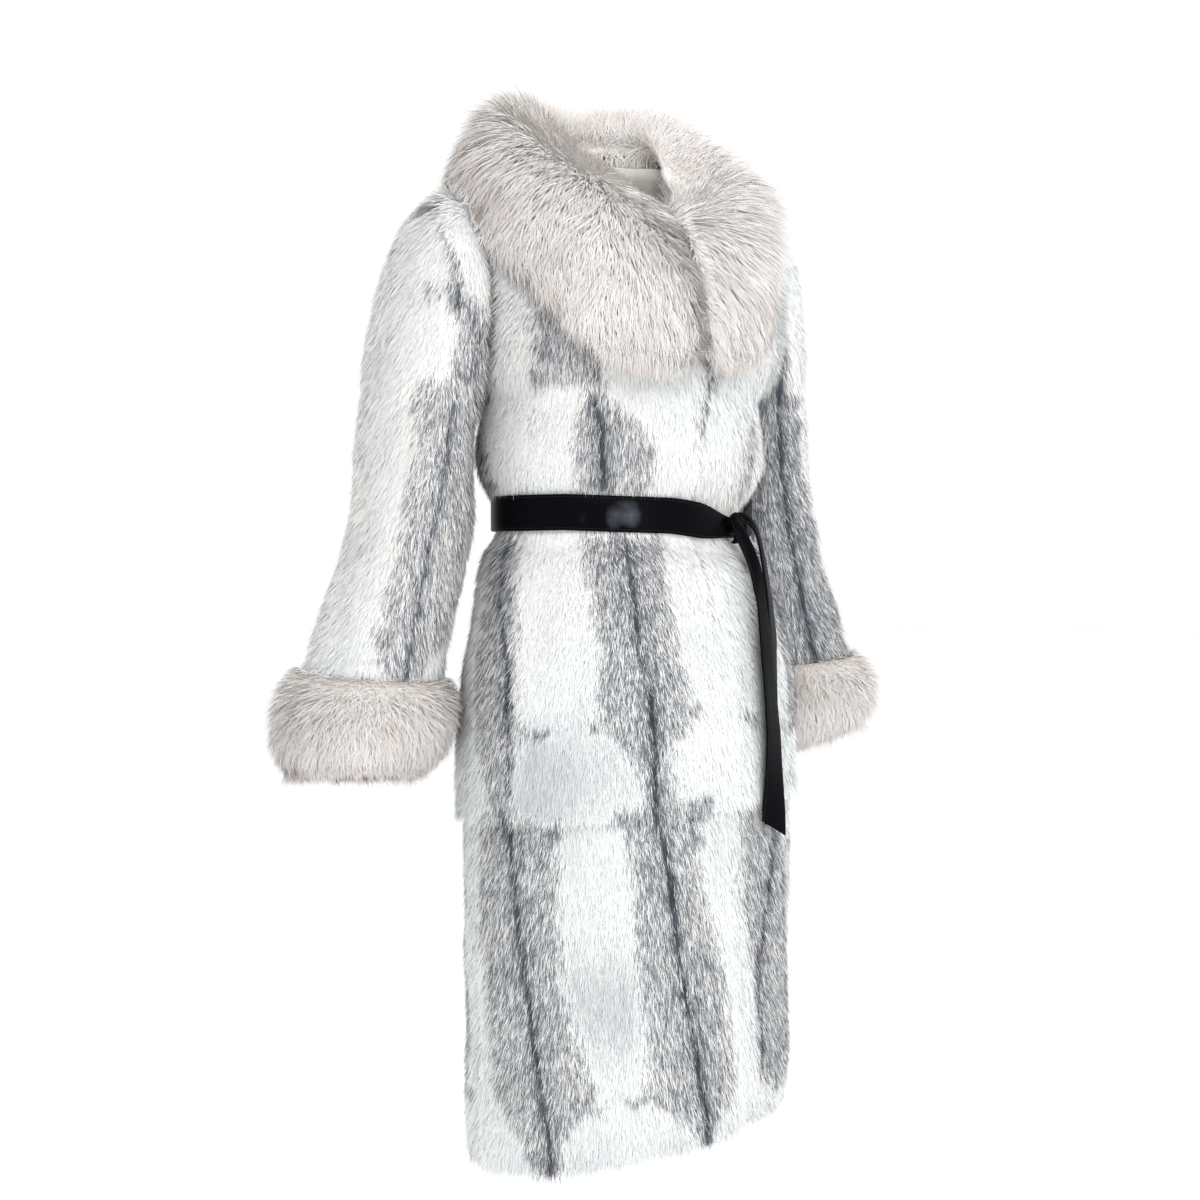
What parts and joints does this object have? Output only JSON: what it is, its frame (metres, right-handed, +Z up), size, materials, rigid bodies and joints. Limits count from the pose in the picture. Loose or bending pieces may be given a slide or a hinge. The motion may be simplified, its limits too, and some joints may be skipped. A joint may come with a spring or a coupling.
{
  "type": "fur coat",
  "caption": "Long fur coat with set-in sleeves, a wide shawl collar and fluffy cuffs, tied at the waist with a flat leather belt; worn to keep warm.",
  "frame": {"origin": "on the upright axis of the body, at the height of the shoulders, where the wearer's shoulders hold the coat up", "axes": "+Z up the coat towards the collar; the coat faces -Y; +X towards the wearer's left sleeve"},
  "size_m": [0.7858, 0.4043, 1.2134],
  "materials": {
    "short_fur": "short dense pile",
    "fox_fur": "long soft pile",
    "belt_leather": "smooth, softly glossy"
  },
  "bodies": {
    "root": {"back": "short_fur", "front_right": "short_fur", "front_left": "short_fur", "skirt_back": "short_fur", "skirt_front_right": "short_fur", "skirt_front_left": "short_fur", "sleeve_right": "short_fur", "sleeve_left": "short_fur", "collar": "fox_fur", "cuff_right": "fox_fur", "cuff_left": "fox_fur", "belt": "belt_leather", "belt_knot": "belt_leather", "belt_tail_outer": "belt_leather", "belt_tail_inner": "belt_leather"}
  },
  "joints": []
}
